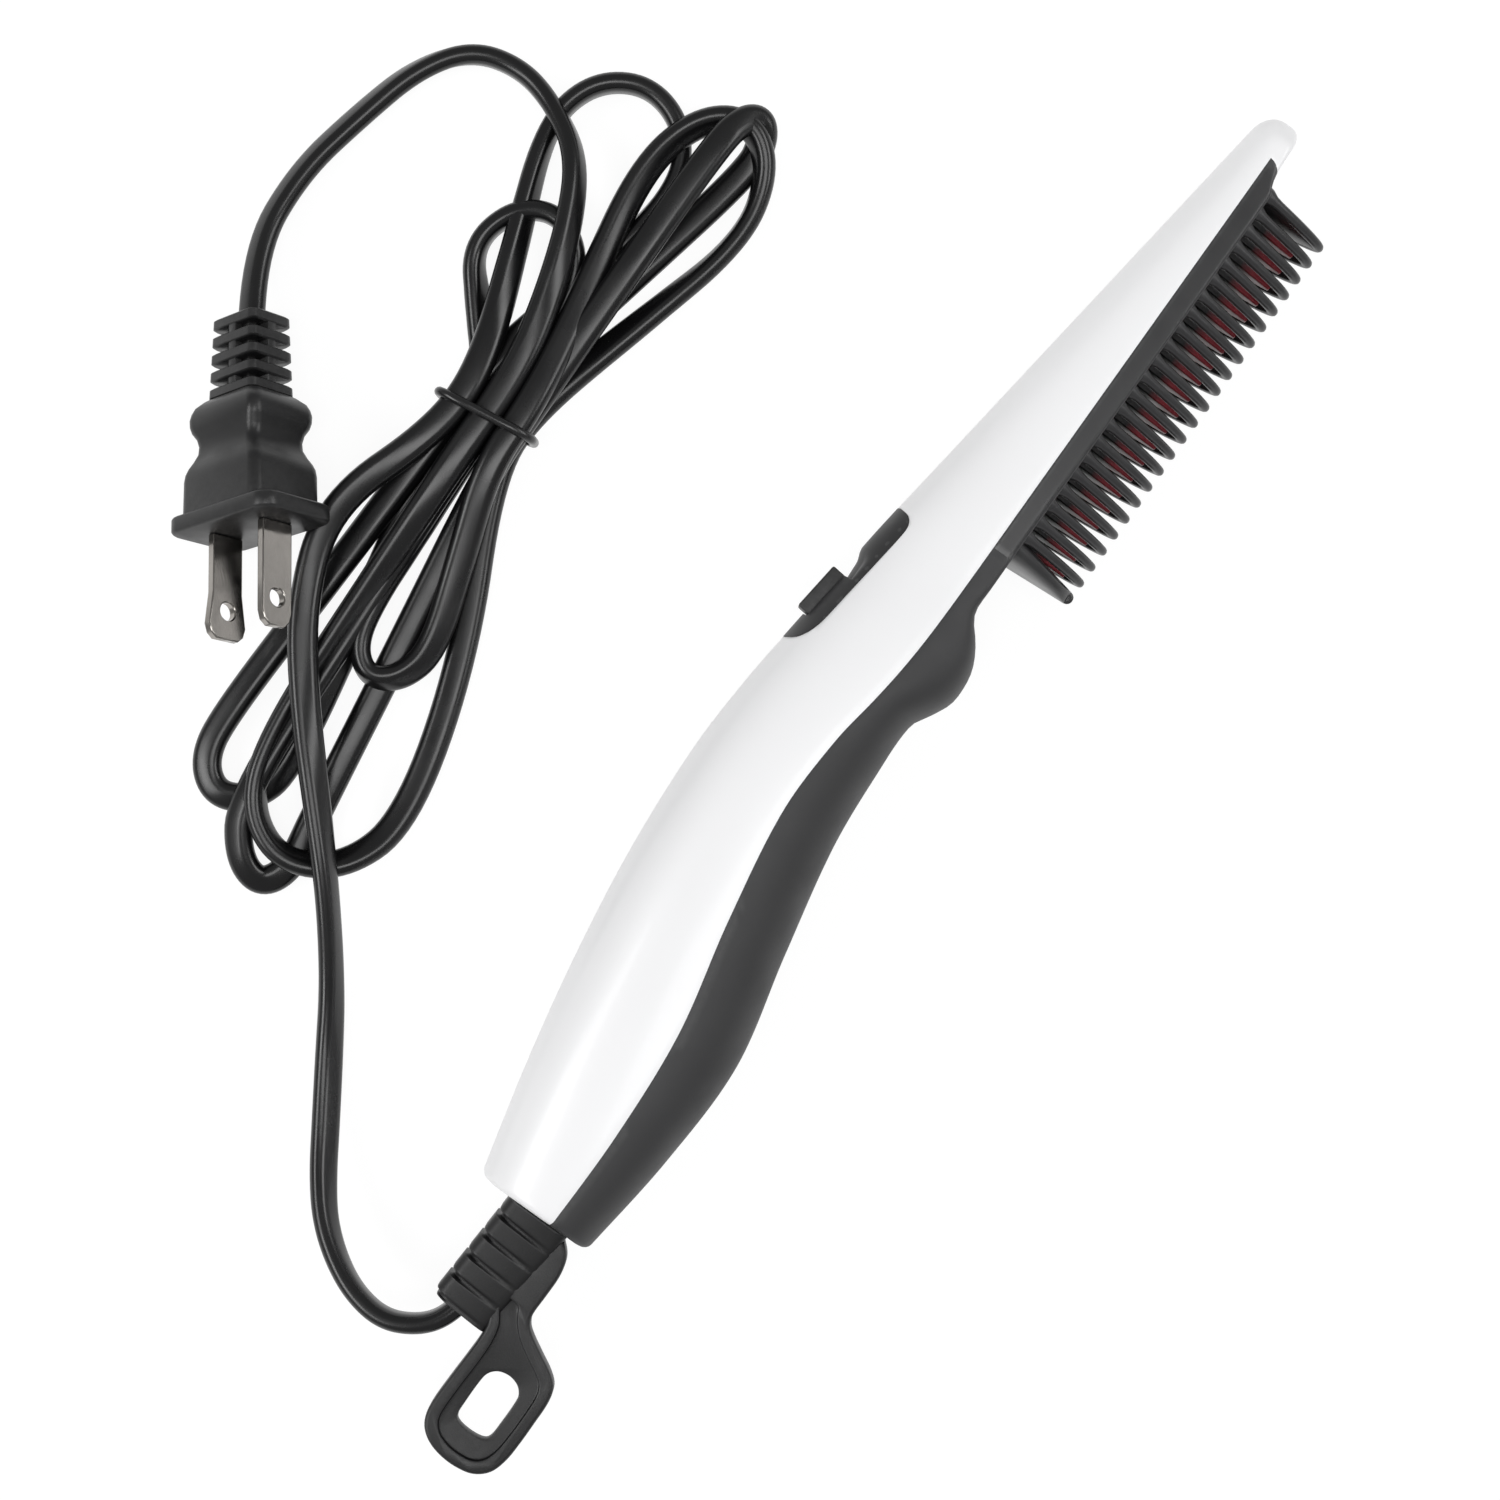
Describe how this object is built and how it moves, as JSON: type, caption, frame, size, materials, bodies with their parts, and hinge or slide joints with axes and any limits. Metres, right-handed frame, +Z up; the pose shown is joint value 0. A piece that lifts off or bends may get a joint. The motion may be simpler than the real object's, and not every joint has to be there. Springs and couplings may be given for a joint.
{
  "type": "electric hot comb",
  "caption": "Corded electric straightening comb: slim two-part housing, shielded heated teeth, thumb slide switch, hanging loop and tied flat mains cord with a two-blade plug.",
  "frame": {"origin": "bottom centre of the comb with its strain relief and hanging loop, lying on its side, the free cord left out", "axes": "+X along the comb from the cord end to the nose, +Y from the teeth to the spine, +Z up from the surface it lies on"},
  "size_m": [0.268, 0.1617, 0.028],
  "materials": {
    "shell_white": "satin gloss",
    "grip_black": "fine matte",
    "guard_black": "satin",
    "comb_red": "ceramic-look coating",
    "heater_ceramic": "fired",
    "electrode_aluminium": "rolled",
    "film_amber": "film",
    "clamp_steel": "pressed",
    "screw_steel": "plated",
    "fuse_ceramic": "glazed",
    "plate_black": "matte",
    "knob_black": "matte",
    "switch_black": "moulded",
    "board_green": "solder mask",
    "component_black": "moulded",
    "wire_sleeve": "sleeve",
    "relief_rubber": "matte",
    "cord_pvc": "satin",
    "tie_pvc": "matte",
    "plug_pvc": "satin",
    "blade_nickel": "nickel plated"
  },
  "bodies": {
    "housing": {"spine_shell": "shell_white", "grip_shell": "grip_black", "tooth_guard": "guard_black", "heat_comb": "comb_red", "ptc_heaters": "heater_ceramic", "heater_electrodes": "electrode_aluminium", "insulation_film": "film_amber", "heater_clamp": "clamp_steel", "heater_screws": "screw_steel", "thermal_fuse": "fuse_ceramic", "switch_plate": "plate_black", "switch_body": "switch_black", "control_board": "board_green", "board_components": "component_black", "mains_wires": "wire_sleeve", "heater_wires": "wire_sleeve", "housing_screws": "screw_steel", "cord_clamp": "switch_black", "clamp_screws": "screw_steel", "strain_relief": "relief_rubber", "cord_lead": "cord_pvc", "cord_hank": "cord_pvc", "cord_tail": "cord_pvc", "cord_tie": "tie_pvc", "plug_body": "plug_pvc", "wide_blade": "blade_nickel", "narrow_blade": "blade_nickel"},
    "slider": {"slider_knob": "knob_black", "switch_lever": "knob_black"}
  },
  "joints": [
    {"name": "switch_slide", "type": "slide", "parent": "housing", "child": "slider", "axis": [0.9932, -0.1163, 0], "range_m": [0, 0.0032]}
  ]
}
